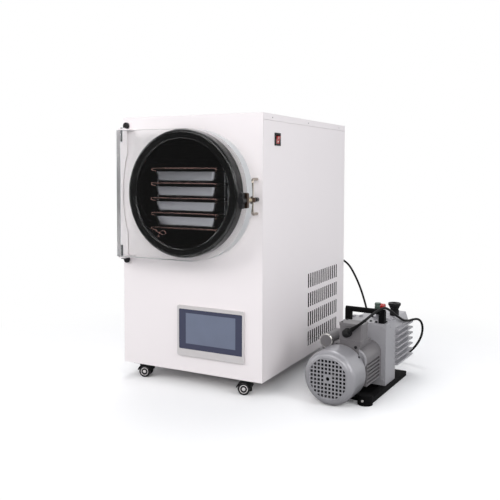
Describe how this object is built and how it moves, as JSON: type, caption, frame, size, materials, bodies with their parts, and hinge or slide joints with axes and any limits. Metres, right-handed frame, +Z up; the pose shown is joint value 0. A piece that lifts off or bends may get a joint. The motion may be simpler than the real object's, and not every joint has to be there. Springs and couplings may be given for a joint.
{
  "type": "freeze dryer",
  "caption": "White floor-standing tray freeze dryer with a round vacuum chamber behind a thick clear hinged door, touch screen, casters, and its oil-sealed vacuum pump wired beside it.",
  "frame": {"origin": "on the floor, at the middle of the footprint of the cabinet, its fittings and the pump", "axes": "+Z up, -Y out of the front panel and the door, +X towards the side where the pump stands"},
  "size_m": [0.7731, 0.762, 0.768],
  "materials": {
    "powder_coat": "fine satin powder coat",
    "folded_steel": "plain zinc-plated sheet",
    "screw_black": "blackened steel",
    "chamber_black": "glossy black enamel",
    "seal_rubber": "smooth moulded rubber",
    "shelf_metal": "dark bronze anodised",
    "tray_steel": "drawn stainless",
    "black_paint": "semi-gloss black",
    "fin_aluminium": "plain rolled",
    "black_plastic": "moulded, fine texture",
    "circuit_green": "solder resist",
    "clear_acrylic": "cast and polished",
    "bright_steel": "turned stainless",
    "bronze_steel": "browned steel",
    "brass": "turned",
    "silver_plastic": "moulded silver frame",
    "screen_glass": "dark display glass",
    "red_plastic": "moulded",
    "caster_plastic": "moulded nylon",
    "pump_paint": "satin grey enamel on cast aluminium",
    "sight_glass": "clear window with oil behind it",
    "cord_rubber": "extruded flexible lead"
  },
  "bodies": {
    "machine": {"base_frame": "powder_coat", "front_panel": "powder_coat", "left_side_panel": "powder_coat", "right_side_panel": "powder_coat", "back_panel": "powder_coat", "top_cover": "powder_coat", "case_screws": "screw_black", "chamber_drum": "chamber_black", "door_gasket": "seal_rubber", "drum_cradle": "folded_steel", "shelf_rack": "shelf_metal", "tray_1": "tray_steel", "tray_2": "tray_steel", "tray_3": "tray_steel", "tray_4": "tray_steel", "compressor": "black_paint", "condenser": "fin_aluminium", "fan_shroud": "black_paint", "control_board": "circuit_green", "hinge_plate": "powder_coat", "hinge_pins": "screw_black", "hinge_bolts": "screw_black", "latch_bail": "bright_steel", "latch_bumper": "seal_rubber", "screen_bezel": "silver_plastic", "touch_screen": "screen_glass", "switch_bezel": "black_plastic", "caster_stems": "bright_steel", "vacuum_port": "bright_steel", "rear_sockets": "black_plastic", "fan_cover": "pump_paint", "motor_body": "pump_paint", "capacitor": "pump_paint", "terminal_box": "pump_paint", "cable_gland": "black_plastic", "pump_block": "pump_paint", "oil_case": "pump_paint", "pump_base": "black_plastic", "pump_handle": "black_plastic", "exhaust_port": "black_plastic", "sight_glass": "sight_glass", "pump_cord": "cord_rubber", "cord_plug": "black_plastic"},
    "door": {"door": "clear_acrylic"},
    "latch_bolt": {"latch_bolt": "bronze_steel", "latch_spacer": "brass"},
    "clamp_pad": {"clamp_pad": "bronze_steel"},
    "latch_knob": {"latch_knob": "screw_black"},
    "power_rocker": {"power_rocker": "red_plastic"},
    "condenser_fan": {"condenser_fan": "black_plastic"},
    "motor_fan": {"motor_fan": "black_plastic"},
    "ballast_knob": {"ballast_knob": "red_plastic"},
    "caster_hood_1": {"caster_hood_1": "caster_plastic"},
    "caster_wheels_1": {"caster_wheels_1": "caster_plastic"},
    "caster_hood_2": {"caster_hood_2": "caster_plastic"},
    "caster_wheels_2": {"caster_wheels_2": "caster_plastic"},
    "caster_hood_3": {"caster_hood_3": "caster_plastic"},
    "caster_wheels_3": {"caster_wheels_3": "caster_plastic"},
    "caster_hood_4": {"caster_hood_4": "caster_plastic"},
    "caster_wheels_4": {"caster_wheels_4": "caster_plastic"}
  },
  "joints": [
    {"name": "door_hinge", "type": "hinge", "parent": "machine", "child": "door", "pos_m": [-0.33869, -0.336, 0.55], "axis": [0, 0, -1], "range_deg": [0, 150]},
    {"name": "latch_swing", "type": "hinge", "parent": "machine", "child": "latch_bolt", "pos_m": [0.06731, -0.315, 0.537], "axis": [0, 0, 1], "range_deg": [0, 110]},
    {"name": "clamp_travel", "type": "slide", "parent": "latch_bolt", "child": "clamp_pad", "axis": [0, -1, 0], "range_m": [0, 0.006]},
    {"name": "knob_turn", "type": "hinge", "parent": "clamp_pad", "child": "latch_knob", "pos_m": [0.06731, -0.37, 0.537], "axis": [0, -1, 0], "range_deg": [0, 1440]},
    {"name": "rocker_tilt", "type": "hinge", "parent": "machine", "child": "power_rocker", "pos_m": [0.07931, -0.196, 0.7], "axis": [0, 1, 0], "range_deg": [-24, 0]},
    {"name": "condenser_fan_spin", "type": "hinge", "parent": "machine", "child": "condenser_fan", "pos_m": [0.00331, 0.1625, 0.19], "axis": [1, 0, 0], "continuous": true},
    {"name": "motor_fan_spin", "type": "hinge", "parent": "machine", "child": "motor_fan", "pos_m": [0.26367, -0.21606, 0.074], "axis": [0.0523, 0.9986, 0], "continuous": true},
    {"name": "ballast_turn", "type": "hinge", "parent": "machine", "child": "ballast_knob", "pos_m": [0.33679, -0.02463, 0.23], "axis": [0.9986, -0.0523, 0], "range_deg": [0, 270]},
    {"name": "caster_swivel_1", "type": "hinge", "parent": "machine", "child": "caster_hood_1", "pos_m": [-0.32869, -0.263, 0.03], "axis": [0, 0, 1], "continuous": true},
    {"name": "caster_roll_1", "type": "hinge", "parent": "caster_hood_1", "child": "caster_wheels_1", "pos_m": [-0.31517, -0.25938, 0.017], "axis": [-0.2588, 0.9659, 0], "continuous": true},
    {"name": "caster_swivel_2", "type": "hinge", "parent": "machine", "child": "caster_hood_2", "pos_m": [0.03531, -0.263, 0.03], "axis": [0, 0, 1], "continuous": true},
    {"name": "caster_roll_2", "type": "hinge", "parent": "caster_hood_2", "child": "caster_wheels_2", "pos_m": [0.02179, -0.26662, 0.017], "axis": [0.2588, -0.9659, 0], "continuous": true},
    {"name": "caster_swivel_3", "type": "hinge", "parent": "machine", "child": "caster_hood_3", "pos_m": [0.03531, 0.333, 0.03], "axis": [0, 0, 1], "continuous": true},
    {"name": "caster_roll_3", "type": "hinge", "parent": "caster_hood_3", "child": "caster_wheels_3", "pos_m": [0.02179, 0.32938, 0.017], "axis": [0.2588, -0.9659, 0], "continuous": true},
    {"name": "caster_swivel_4", "type": "hinge", "parent": "machine", "child": "caster_hood_4", "pos_m": [-0.32869, 0.333, 0.03], "axis": [0, 0, 1], "continuous": true},
    {"name": "caster_roll_4", "type": "hinge", "parent": "caster_hood_4", "child": "caster_wheels_4", "pos_m": [-0.31517, 0.33662, 0.017], "axis": [-0.2588, 0.9659, 0], "continuous": true}
  ],
  "couplings": [
    {"joint": "clamp_travel", "follows": "knob_turn", "m_per_rad": 0.00023873}
  ]
}
